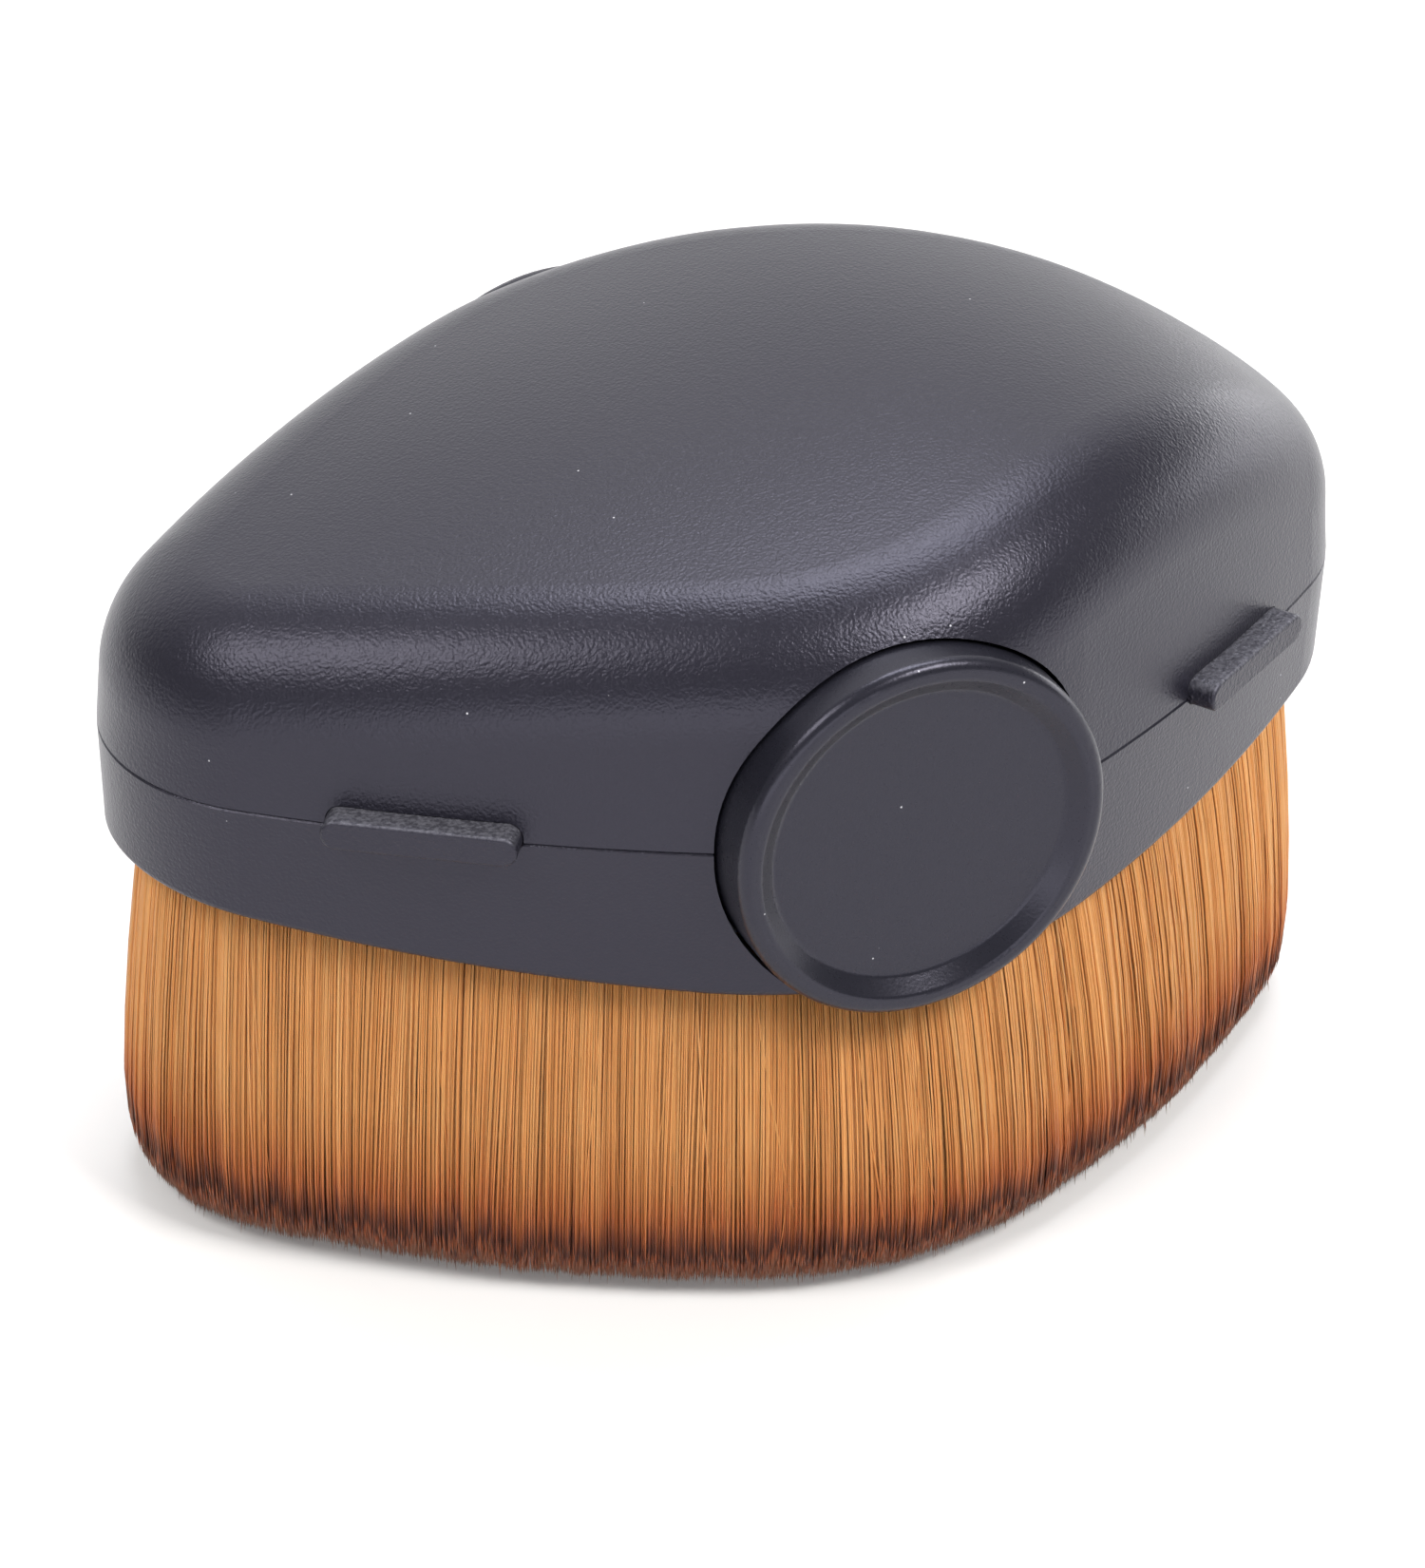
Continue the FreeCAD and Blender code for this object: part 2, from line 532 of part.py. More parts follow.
def make_front_spring():
    """Compression spring between the chassis seat and the front yoke's tab."""
    length = TAB_OUTER - TAB_THICKNESS - SPRING_SEAT - SPRING_WIRE - 0.1
    helix = Part.makeHelix(length / SPRING_TURNS, length, SPRING_RADIUS)
    start = Vector(SPRING_RADIUS, 0, 0)
    circle = Part.Wire(Part.Circle(start, Y_AXIS, SPRING_WIRE / 2).toShape())
    coil = Part.Wire(helix).makePipeShell([circle], True, True)
    coil.rotate(ORIGIN, X_AXIS, 90)
    coil.translate(Vector(0, -SPRING_SEAT - SPRING_WIRE / 2 - 0.05, DRIVE_HEIGHT))
    return coil


def make_button_screw():
    fixing = screw(SHORT_SCREW_LENGTH)
    fixing.rotate(ORIGIN, X_AXIS, 90)
    return moved(fixing, 0, -(TAB_OUTER - TAB_THICKNESS), DRIVE_HEIGHT)


# Brush head

def head_wells(margin):
    """Room for the pressed buttons, and for the collars round them."""
    button_start = BUTTON_CREST - BUTTON_DEPTH - BUTTON_TRAVEL - 0.4 - margin
    collar_start = COLLAR_INNER_END - 0.4 - margin
    wells = well_bores(0.2 + margin, button_start)
    wells += well_bores(COLLAR_WALL + 0.35 + margin, collar_start)
    return Part.makeCompound(wells)


def make_head_base():
    """Base plate with the tenon that the pads grip."""
    high = -DECK_THICKNESS - HEAD_GAP
    plate = LEAF.prism(HEAD_INSET, high - HEAD_PLATE, HEAD_INSET, high).cut(head_wells(0.0))
    tenon = box((-TENON_HALF_X, -TENON_HALF_Y, high - 0.4), (TENON_HALF_X, TENON_HALF_Y,
                TENON_TOP))
    top = [e for e in tenon.Edges if min(v.Point.z for v in e.Vertexes) > TENON_TOP - 0.01]
    return fuse(plate, tenon.makeChamfer(TENON_CHAMFER, top))


def ring_room(margin):
    """Space inside the ferrule ring, following the button wells."""
    inset = HEAD_INSET + margin
    return LEAF.prism(inset, -12.0, inset, -DECK_THICKNESS - HEAD_GAP - HEAD_PLATE).cut(
        head_wells(margin))


def make_head_ring():
    lip = rim_cylinder(RING_ABOVE_RIM)
    return ring_room(0.0).common(lip).cut(ring_room(RING_WALL))


def glue_low():
    return -DECK_THICKNESS - HEAD_GAP - HEAD_PLATE - GLUE_DEPTH


def make_glue_bed():
    slab = box((-ABOVE_ALL, -ABOVE_ALL, glue_low()), (ABOVE_ALL, ABOVE_ALL, 0))
    return ring_room(RING_WALL).common(slab)


def make_bristles():
    """Outer form of the packed bristle bundle, tips down."""
    root_z = -RIM_TIP_DROP
    end_z = -SEAM_HEIGHT + BRISTLE_END_HEIGHT
    root_inset = HEAD_INSET + RING_WALL
    roots = LEAF.prism(root_inset, root_z, root_inset, glue_low())
    sections = [BRISTLE_LEAF.wire(0.0, end_z), LEAF.wire(BRISTLE_ROOT_INSET, root_z)]
    spread = Part.makeLoft(sections, True, True)
    tips = BRISTLE_LEAF.prism(BRISTLE_END_INSET, -SEAM_HEIGHT, 0.0, end_z)
    bundle = fuse(spread, roots, tips)
    ring = LEAF.prism(1.0, -12.0, 1.0, 0.0).cut(ring_room(RING_WALL)).common(
        rim_cylinder(RING_ABOVE_RIM - 0.05))
    return bundle.cut(ring).cut(head_wells(0.4))


def build():
    front_button = make_front_button()
    front_spring = make_front_spring()
    front_screw = make_button_screw()
    nodes = {
        "upper_shell": make_upper_shell(),
        "lower_shell": make_lower_shell(),
        "chassis": make_chassis(),
        "keeper_plate": make_keeper(),
        "shell_screws": make_shell_screws(),
        "keeper_screws": make_keeper_screws(),
        "front_button": front_button,
        "rear_button": half_turn(front_button),
        "front_yoke": make_yoke(FRONT_YOKE_LOW),
        "rear_yoke": half_turn(make_yoke(REAR_YOKE_LOW)),
        "front_grip_pad": make_pad(FRONT_YOKE_LOW),
        "rear_grip_pad": half_turn(make_pad(REAR_YOKE_LOW)),
        "front_spring": front_spring,
        "rear_spring": half_turn(front_spring),
        "front_yoke_screw": front_screw,
        "rear_yoke_screw": half_turn(front_screw),
        "head_base": make_head_base(),
        "head_ring": make_head_ring(),
        "glue_bed": make_glue_bed(),
        "bristles": make_bristles(),
    }
    sides = {1: "right", -1: "left"}
    ends = {1: "rear", -1: "front"}
    for sx, sy in CORNERS:
        nodes["%s_%s_seam_key" % (ends[sy], sides[sx])] = seam_key(sx, sy)
    return nodes


for name, shape in build().items():
    lifted = moved(shape, 0, 0, SEAM_HEIGHT)
    lifted.exportStep("parts/%s.step" % name)
    bounds = lifted.BoundBox
    print("%-22s solids %d valid %s volume %9.2f  x %.2f %.2f  y %.2f %.2f  z %.2f %.2f" % (
        name, len(lifted.Solids), lifted.isValid(), lifted.Volume, bounds.XMin, bounds.XMax,
        bounds.YMin, bounds.YMax, bounds.ZMin, bounds.ZMax))
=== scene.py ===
import math

import bpy
import numpy as np
from mathutils import Matrix, Vector


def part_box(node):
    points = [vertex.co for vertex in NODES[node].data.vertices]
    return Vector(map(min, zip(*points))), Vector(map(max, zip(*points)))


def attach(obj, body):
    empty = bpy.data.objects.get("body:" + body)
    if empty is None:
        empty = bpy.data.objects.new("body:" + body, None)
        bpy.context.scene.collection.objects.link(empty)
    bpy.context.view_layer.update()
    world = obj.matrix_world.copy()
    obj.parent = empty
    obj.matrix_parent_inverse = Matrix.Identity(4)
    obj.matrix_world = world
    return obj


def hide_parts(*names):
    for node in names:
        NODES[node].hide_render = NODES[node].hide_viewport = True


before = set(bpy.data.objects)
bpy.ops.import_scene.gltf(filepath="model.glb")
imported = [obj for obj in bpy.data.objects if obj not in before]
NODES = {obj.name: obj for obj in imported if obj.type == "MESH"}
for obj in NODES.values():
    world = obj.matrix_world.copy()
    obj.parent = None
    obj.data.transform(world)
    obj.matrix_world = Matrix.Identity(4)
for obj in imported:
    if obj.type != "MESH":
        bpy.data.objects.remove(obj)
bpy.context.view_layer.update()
MM = 0.001

# Driving sizes, in metres, read from the frame where it has them
SEAM_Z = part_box("upper_shell")[0][2]
HALF_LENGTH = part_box("lower_shell")[1][0]

# Leaf outline at the seam: the same arcs as the casing's
TIP_RADIUS = 12.2 * MM
TIP_SWEEP = math.radians(51.0)
FLANK_RADIUS = 125.0 * MM
FLANK_SWEEP = math.radians(12.8)

# Arched rim of the lower shell, below the seam
RIM_TIP_DROP = 6.7 * MM
RIM_MIDDLE_DROP = 10.2 * MM

# Bundle of bristles: layers of strands around a closed core
STRAND_LAYERS = 8
LAYER_STEP = 0.13 * MM
STRAND_PITCH = 0.105 * MM
STRAND_WIDTH = 0.130 * MM
ROOT_INSET = 2.55 * MM
TIP_INSET_ENDS = 0.9 * MM
TIP_INSET_FLANKS = -0.55 * MM
TIP_INSET_MIDDLE = -0.35 * MM
END_ROUNDING = 3.0 * MM
FILL_PITCH = 0.5 * MM
STRAND_FILL_LENGTH = 5.0 * MM
FILL_WIDTH = 1.7            # times STRAND_WIDTH
WELL_RADIUS = 12.45 * MM
WELL_START = 19.7 * MM
CORE_INSET = 1.1 * MM
CAP_STEP = 1.5 * MM
BUTTON_RELIEF = 0.7 * MM
BUTTON_RELIEF_REACH = 16.0 * MM
ROOT_ABOVE_RIM = 1.0 * MM
BOTTOM_CLEARANCE = 1.0 * MM
OUTLINE_SAMPLES = 720
CORE_SAMPLES = 900
# Rings of the core: share of the way down, and how far the ring is pulled in, in mm
CORE_LEVELS = [(0.0, 0.0), (0.12, 0.0), (0.35, 0.0), (0.6, 0.0), (0.8, 0.0), (0.92, 0.1),
               (0.975, 0.9), (1.0, 3.0)]
# The core's tint is low, at the darker and redder end of the fibre colours: painted shade
# where it shows in the gaps between strands.
CORE_TINT = 0.3

# One strand: its rings as shares of its length, its lean and its end
STRAND_STEPS = np.array([0.0, 0.22, 0.45, 0.66, 0.84, 0.965])
TRIANGLE_CORNER = 0.577     # corner's distance from the middle, over the width
FLARE_POWER = 1.7
DRIFT_POWER = 1.3
DEPTH_SPREAD = 1.15
TAPER = ([0.0, 0.6, 1.0], [1.0, 0.95, 0.62])
TUFT_PITCH = 2.4 * MM
TUFT_DRIFT_MM = 0.24
CLUMP_PITCH = 0.8 * MM
CLUMP_DRIFT_MM = 0.07
OWN_DRIFT = 0.10 * MM
END_WAVE_PITCH = 1.2 * MM
END_WAVE_MM = 0.08
CURL_START = 0.8
CURL_SPAN = 0.2
CURL_MM = 0.35
STRAY_SHARE = 0.06
STRAY_DRIFT = 1.3 * MM
LOWEST_END = 0.02 * MM

# Seeds of the random draws
SEED = 7
TUFT_SEED = 11
CLUMP_SEED = 23
END_SEED = 31
TINT_SEED = 41
RIDGE_SEED = 51


def srgb(r, g, b):
    """Colour written as 0-255 screen values, given as linear numbers."""
    def linear(value):
        value /= 255.0
        return value / 12.92 if value <= 0.04045 else ((value + 0.055) / 1.055) ** 2.4
    return (linear(r), linear(g), linear(b))


# Colours and surfaces
CASING_COLOUR = srgb(30, 29, 37)
BUTTON_COLOUR = srgb(27, 27, 34)
INNER_COLOUR = srgb(38, 38, 42)
RUBBER_COLOUR = srgb(22, 22, 23)
SPECK_COLOUR = srgb(190, 190, 195)
# Painted light: the paler colour that faces looking up are given, as if lit from above
TOP_PAINTED_LIGHT_COLOUR = srgb(106, 106, 114)
PLASTIC_SPECULAR_TINT = (0.82, 0.80, 1.0)
PLASTIC_IOR = 1.48
# Cast grain: factors on the colour, spread of the roughness, and its cells and lumps
GRAIN_LIGHT = 1.12
GRAIN_DARK = 0.90
ROUGHNESS_SPREAD = 0.04
CELL_SCALE = 0.7
LUMP_HEIGHT = 2.0
# Dust specks, and painted light on faces that look up: a paler colour in patches, which grows
# as the normal's Z goes between the two slopes
SPECK_SCALE = 420.0
SPECK_EDGE = (0.020, 0.032)
PAINTED_LIGHT_PATCH_SCALE = 4200.0
PAINTED_LIGHT_PATCH_EDGE = (0.38, 0.62)
LEAST_PAINTED_LIGHT = 0.35
PAINTED_LIGHT_SLOPES = (0.35, 0.85)
# Fibre colours over the tint, and the factors on them over the last part of the strand
FIBRE_COLOURS = [(0.05, srgb(166, 96, 48)), (0.30, srgb(195, 130, 73)),
                 (0.58, srgb(213, 150, 90)), (0.92, srgb(236, 180, 120))]
FIBRE_END_FACTORS = [(0.56, (1.0, 1.0, 1.0)), (0.72, (0.88, 0.75, 0.69)),
                     (0.83, (0.70, 0.46, 0.45)), (0.90, (0.32, 0.20, 0.30)),
                     (0.950, (0.12, 0.10, 0.24)), (0.975, (0.50, 0.30, 0.38)),
                     (1.0, (0.42, 0.34, 0.55))]
# Painted shade on the core, where it shows in the gaps between strands: this dark red is
# mixed into its colour at the share below.
CORE_PAINTED_SHADE = srgb(140, 70, 30)
CORE_PAINTED_SHADE_SHARE = 0.45

# Camera, in degrees and metres, at the viewing angle that the casing's outline gives
CAMERA_AZIMUTH = -24.756
CAMERA_ELEVATION = 30.912
CAMERA_ROLL = 1.09
CAMERA_DISTANCE = 376.87 * MM
CAMERA_RIGHT = -0.74 * MM
CAMERA_UP = -9.928 * MM
CAMERA_LENS = 141.54
CAMERA_SENSOR = 36.0

# Floor: what it adds for the camera grows from near to far, until it meets the white world
FLOOR_HALF = 3.0
FLOOR_COLOUR = (0.86, 0.86, 0.86)
FLOOR_NEAR = 0.12
FLOOR_FAR = 0.60
FLOOR_NEAR_GLOW = 0.12

# World: brightest in one direction (azimuth, elevation), with its level read off the
# cosine of the angle to it
WORLD_BRIGHT = (168.0, 18.0)
WORLD_COSINES = (0.50, 0.82)
WORLD_LEVELS = (0.26, 1.22)

COOL = (0.95, 0.96, 1.0)
WARM = (1.0, 0.98, 0.95)
WHITE = (1.0, 1.0, 1.0)
# Lamps: name, azimuth, elevation, width, height, level, colour
LAMPS = [("upper_back", 140.0, 70.0, 0.60, 0.32, 9.0, COOL),
         ("left_front", -78.0, 52.0, 0.50, 0.36, 7.5, WARM),
         ("right_front", 36.0, 50.0, 0.40, 0.28, 19.0, WARM),
         ("right_side", 108.0, 5.0, 0.90, 0.20, 3.6, WHITE),
         ("low_fill", -25.0, 3.0, 1.30, 0.40, 2.4, WHITE)]

rng = np.random.default_rng(SEED)


# ---------------------------------------------------------------- materials

class Nodes:
    """Shorthand for building one node tree."""

    def __init__(self, tree):
        self.tree = tree
        self.tree.nodes.clear()

    def add(self, kind, **values):
        node = self.tree.nodes.new("ShaderNode" + kind)
        for key, value in values.items():
            if key in node.inputs:
                node.inputs[key].default_value = value
            else:
                setattr(node, key, value)
        return node

    def link(self, out_socket, in_socket):
        self.tree.links.new(out_socket, in_socket)

    def ramp(self, value, stops):
        node = self.add("ValToRGB")
        elements = node.color_ramp.elements
        while len(elements) < len(stops):
            elements.new(0.5)
        for element, (place, colour) in zip(elements, stops):
            element.position = place
            element.color = (*colour, 1.0)
        self.link(value, node.inputs["Fac"])
        return node.outputs["Color"]

    def range(self, value, from_low, from_high, to_low, to_high):
        node = self.add("MapRange")
        for key, number in (("From Min", from_low), ("From Max", from_high),
                            ("To Min", to_low), ("To Max", to_high)):
            node.inputs[key].default_value = number
        self.link(value, node.inputs["Value"])
        return node.outputs["Result"]

    def mix(self, factor, first, second, blend="MIX"):
        node = self.add("Mix", data_type="RGBA", blend_type=blend)
        sockets = [s for s in node.inputs if s.enabled]
        for socket, value in zip(sockets, (factor, first, second)):
            if isinstance(value, tuple):
                socket.default_value = (*value, 1.0)
            elif isinstance(value, float):
                socket.default_value = value
            else:
                self.link(value, socket)
        return [s for s in node.outputs if s.enabled][0]

    def math(self, operation, first, second):
        node = self.add("Math", operation=operation)
        for socket, value in zip(node.inputs, (first, second)):
            if isinstance(value, (int, float)):
                socket.default_value = value
            else:
                self.link(value, socket)
        return node.outputs["Value"]


def new_material(name):
    material = bpy.data.materials.new(name)
    material.use_nodes = True
    nodes = Nodes(material.node_tree)
    output = nodes.add("OutputMaterial")
    shader = nodes.add("BsdfPrincipled")
    nodes.link(shader.outputs["BSDF"], output.inputs["Surface"])
    return material, nodes, shader


def moulded_plastic(name, colour, roughness, grain_mm, grain_depth, dust=0.0, coarse=0.0,
                    painted_top_light=0.0):
    """Dark moulded plastic, whose cast grain drives its colour, roughness and bump.

    dust is the share of specks that show, coarse the size in mm of a second, larger grain,
    and the last argument the strength of the painted light, a paler colour on faces that look
    up.
    """
    material, nodes, shader = new_material(name)
    place = nodes.add("TexCoord").outputs["Object"]
    grain = nodes.add("TexNoise", Scale=1.0 / (grain_mm * MM), Detail=2.0, Roughness=0.6)
    nodes.link(place, grain.inputs["Vector"])
    light = tuple(min(1.0, c * GRAIN_LIGHT) for c in colour)
    dark = tuple(c * GRAIN_DARK for c in colour)
    base = nodes.mix(grain.outputs["Fac"], dark, light)
    if dust:
        specks = nodes.add("TexVoronoi", Scale=SPECK_SCALE, Randomness=1.0)
        nodes.link(place, specks.inputs["Vector"])
        near = nodes.range(specks.outputs["Distance"], *SPECK_EDGE, 1.0, 0.0)
        chosen = nodes.add("SeparateColor")
        nodes.link(specks.outputs["Color"], chosen.inputs["Color"])
        rare = nodes.math("GREATER_THAN", chosen.outputs["Red"], 1.0 - dust)
        speck = nodes.math("MULTIPLY", near, rare)
        base = nodes.mix(speck, base, SPECK_COLOUR)
    # Painted light: faces that look up are painted paler, in patches, as if lit from above.
    if painted_top_light:
        faces = nodes.add("SeparateXYZ")
        nodes.link(nodes.add("NewGeometry").outputs["Normal"], faces.inputs["Vector"])
        light_patches = nodes.add("TexNoise", Scale=PAINTED_LIGHT_PATCH_SCALE, Detail=2.0)
        nodes.link(place, light_patches.inputs["Vector"])
        upward = nodes.range(faces.outputs["Z"], *PAINTED_LIGHT_SLOPES, 0.0, painted_top_light)
        patchy = nodes.range(light_patches.outputs["Fac"], *PAINTED_LIGHT_PATCH_EDGE, LEAST_PAINTED_LIGHT, 1.0)
        base = nodes.mix(nodes.math("MULTIPLY", upward, patchy), base, TOP_PAINTED_LIGHT_COLOUR)
    nodes.link(base, shader.inputs["Base Color"])
    spread = nodes.math("MULTIPLY", grain.outputs["Fac"], ROUGHNESS_SPREAD)
    nodes.link(nodes.math("ADD", spread, roughness - ROUGHNESS_SPREAD / 2),
               shader.inputs["Roughness"])
    shader.inputs["IOR"].default_value = PLASTIC_IOR
    shader.inputs["Specular Tint"].default_value = (*PLASTIC_SPECULAR_TINT, 1.0)
    cells = nodes.add("TexVoronoi", Scale=CELL_SCALE / (grain_mm * MM), feature="SMOOTH_F1")
    nodes.link(place, cells.inputs["Vector"])
    height = nodes.math("ADD", grain.outputs["Fac"], cells.outputs["Distance"])
    if coarse:
        lumps = nodes.add("TexNoise", Scale=1.0 / (coarse * MM), Detail=3.0)
        nodes.link(place, lumps.inputs["Vector"])
        height = nodes.math("ADD", height,
                            nodes.math("MULTIPLY", lumps.outputs["Fac"], LUMP_HEIGHT))
    bump = nodes.add("Bump", Strength=1.0, Distance=grain_depth * MM)
    nodes.link(height, bump.inputs["Height"])
    nodes.link(bump.outputs["Normal"], shader.inputs["Normal"])
    return material


def plated_steel(name):
    """Springs and screws: bright steel with fine marks."""
    material, nodes, shader = new_material(name)
    place = nodes.add("TexCoord").outputs["Object"]
    marks = nodes.add("TexNoise", Scale=2500.0, Detail=4.0)
    nodes.link(place, marks.inputs["Vector"])
    nodes.link(nodes.ramp(marks.outputs["Fac"], [(0.3, (0.45, 0.45, 0.47)),
                                                 (0.7, (0.66, 0.66, 0.68))]),
               shader.inputs["Base Color"])
    nodes.link(nodes.range(marks.outputs["Fac"], 0.3, 0.7, 0.24, 0.40),
               shader.inputs["Roughness"])
    shader.inputs["Metallic"].default_value = 1.0
    return material


def set_resin(name):
    """Hardened glue with a slow flow in its colour and surface."""
    material, nodes, shader = new_material(name)
    place = nodes.add("TexCoord").outputs["Object"]
    flow = nodes.add("TexNoise", Scale=300.0, Detail=4.0)
    nodes.link(place, flow.inputs["Vector"])
    nodes.link(nodes.ramp(flow.outputs["Fac"], [(0.3, srgb(150, 128, 92)),
                                                (0.7, srgb(190, 170, 130))]),
               shader.inputs["Base Color"])
    shader.inputs["Roughness"].default_value = 0.25
    bump = nodes.add("Bump", Strength=0.6, Distance=0.1 * MM)
    nodes.link(flow.outputs["Fac"], bump.inputs["Height"])
    nodes.link(bump.outputs["Normal"], shader.inputs["Normal"])
    return material


def bristle_fibre(name, core=False):
    """Tan synthetic fibre with a tint for each strand: reddish, then dark towards the end.

    "along" runs from 0 at the root to 1 at the end, and "tint" is one value per strand;
    deeper strands get a lower tint, darker and redder, as painted shade.
    """
    material, nodes, shader = new_material(name)
    place = nodes.add("TexCoord").outputs["Object"]
    along = nodes.add("Attribute", attribute_name="along").outputs["Fac"]
    tint = nodes.add("Attribute", attribute_name="tint").outputs["Fac"]
    stretched = nodes.add("Mapping", Scale=(1.0, 1.0, 0.02))
    nodes.link(place, stretched.inputs["Vector"])
    streak = nodes.add("TexNoise", Scale=1900.0, Detail=3.0)
    nodes.link(stretched.outputs["Vector"], streak.inputs["Vector"])
    drift = nodes.math("ADD", nodes.math("MULTIPLY", tint, 0.75),
                       nodes.math("MULTIPLY", streak.outputs["Fac"], 0.25))
    body = nodes.ramp(drift, FIBRE_COLOURS)
    # The dark end starts at an uneven height, and higher up on the darker strands.
    shifted = nodes.math("ADD", along,
                         nodes.range(streak.outputs["Fac"], 0.3, 0.7, -0.035, 0.035))
    shifted = nodes.math("ADD", shifted, nodes.range(tint, 0.0, 1.0, 0.11, -0.09))
    toward_end = nodes.ramp(shifted, FIBRE_END_FACTORS)
    colour = nodes.mix(1.0, body, toward_end, blend="MULTIPLY")
    # Painted shade: the core, which shows in the gaps between strands, gets a dark red mixed
    # into its colour.
    if core:
        colour = nodes.mix(CORE_PAINTED_SHADE_SHARE, colour, CORE_PAINTED_SHADE)
    nodes.link(colour, shader.inputs["Base Color"])
    shader.inputs["Roughness"].default_value = 0.5
    shader.inputs["Specular IOR Level"].default_value = 0.15
    shader.inputs["Subsurface Weight"].default_value = 0.3
    shader.inputs["Subsurface Scale"].default_value = 0.15 * MM
    shader.inputs["Subsurface Radius"].default_value = (1.0, 0.8, 0.6)
    shader.inputs["Sheen Weight"].default_value = 0.05
    shader.inputs["Sheen Roughness"].default_value = 0.35
    if core:
        shader.inputs["Roughness"].default_value = 0.7
        bump = nodes.add("Bump", Strength=1.0, Distance=0.25 * MM)
        nodes.link(streak.outputs["Fac"], bump.inputs["Height"])
        nodes.link(bump.outputs["Normal"], shader.inputs["Normal"])
    return material


def paint(material, *names):
    """Give CAD nodes a material, in their own slots where they have any."""
    for name in names:
        slots = NODES[name].material_slots
        for slot in slots:
            slot.material = material
        if not slots:
            NODES[name].data.materials.append(material)


def dress_cad_nodes():
    """Material of every CAD node that stays."""
    paint(moulded_plastic("casing_plastic", CASING_COLOUR, 0.30, 0.15, 0.025, dust=0.6),
          "upper_shell", "lower_shell")
    paint(moulded_plastic("button_plastic", BUTTON_COLOUR, 0.28, 0.14, 0.006, dust=0.6),
          "front_button", "rear_button")
    # The keys get painted light on their faces that look up.
    paint(moulded_plastic("key_plastic", CASING_COLOUR, 0.38, 0.16, 0.04, coarse=0.30,
                          painted_top_light=0.8),
          "front_left_seam_key", "front_right_seam_key",
          "rear_left_seam_key", "rear_right_seam_key")
    paint(moulded_plastic("inner_plastic", INNER_COLOUR, 0.5, 0.15, 0.01),
          "chassis", "keeper_plate", "front_yoke", "rear_yoke", "head_base", "head_ring")
    paint(moulded_plastic("pad_rubber", RUBBER_COLOUR, 0.8, 0.10, 0.01),
          "front_grip_pad", "rear_grip_pad")
    paint(plated_steel("plated_steel"), "front_spring", "rear_spring", "shell_screws",
          "keeper_screws", "front_yoke_screw", "rear_yoke_screw")
    paint(set_resin("set_resin"), "glue_bed")


# ---------------------------------------------------------------- leaf outline

def leaf_arcs():
    """(centre x, centre y, radius, start angle, end angle) of all eight arcs."""
    tip_x = HALF_LENGTH - TIP_RADIUS
    joint = (tip_x + TIP_RADIUS * math.cos(TIP_SWEEP), TIP_RADIUS * math.sin(TIP_SWEEP))
    flank = (joint[0] - FLANK_RADIUS * math.cos(TIP_SWEEP),
             joint[1] - FLANK_RADIUS * math.sin(TIP_SWEEP))
    turned = TIP_SWEEP + FLANK_SWEEP
    start = (flank[0] + FLANK_RADIUS * math.cos(turned),
             flank[1] + FLANK_RADIUS * math.sin(turned))
    radius = start[0] / math.cos(turned)
    middle = start[1] - radius * math.sin(turned)
    half, full = math.pi, 2 * math.pi
    return [(tip_x, 0.0, TIP_RADIUS, -TIP_SWEEP, TIP_SWEEP),
            (flank[0], flank[1], FLANK_RADIUS, TIP_SWEEP, turned),
            (0.0, middle, radius, turned, half - turned),
            (-flank[0], flank[1], FLANK_RADIUS, half - turned, half - TIP_SWEEP),
            (-tip_x, 0.0, TIP_RADIUS, half - TIP_SWEEP, half + TIP_SWEEP),
            (-flank[0], -flank[1], FLANK_RADIUS, half + TIP_SWEEP, half + turned),
            (0.0, -middle, radius, half + turned, full - turned),
            (flank[0], -flank[1], FLANK_RADIUS, full - turned, full - TIP_SWEEP)]


ARCS = leaf_arcs()
ARC_LENGTHS = np.array([r * (b - a) for _, _, r, a, b in ARCS])
ARC_STARTS = np.concatenate([[0.0], np.cumsum(ARC_LENGTHS)])
PERIMETER = ARC_STARTS[-1]


def leaf(distance, inset):
    """Points at a distance along the seam outline, set in by inset along the normal."""
    distance = np.mod(distance, PERIMETER)
    index = np.clip(np.searchsorted(ARC_STARTS, distance, side="right") - 1, 0, len(ARCS) - 1)
    data = np.array(ARCS)[index]
    share = (distance - ARC_STARTS[index]) / ARC_LENGTHS[index]
    angle = data[:, 3] + share * (data[:, 4] - data[:, 3])
    reach = data[:, 2] - inset
    return data[:, 0] + reach * np.cos(angle), data[:, 1] + reach * np.sin(angle)


def rim_drop(x):
    """How far the arched rim lies below the seam."""
    return RIM_TIP_DROP + (RIM_MIDDLE_DROP - RIM_TIP_DROP) * (1 - (x / HALF_LENGTH) ** 2)


def tip_inset(x):
    """Inset of the bundle's lower outline, which flares out along the flanks."""
    share = np.abs(x) / HALF_LENGTH
    return np.interp(share, [0.0, 0.25, 0.55, 0.8, 1.0],
                     [TIP_INSET_MIDDLE, TIP_INSET_MIDDLE, TIP_INSET_FLANKS, 0.0,
                      TIP_INSET_ENDS])


def root_height(x, y):
    """Where a strand comes out: above the rim, or below a button's well."""
    above_rim = SEAM_Z - rim_drop(x) + ROOT_ABOVE_RIM
    gap = np.sqrt(np.maximum(WELL_RADIUS ** 2 - x ** 2, 0.0))
    under_well = SEAM_Z - gap
    in_well = (np.abs(x) < WELL_RADIUS) & (np.abs(y) > WELL_START)
    return np.where(in_well, np.minimum(above_rim, under_well), above_rim)


# ---------------------------------------------------------------- bristles

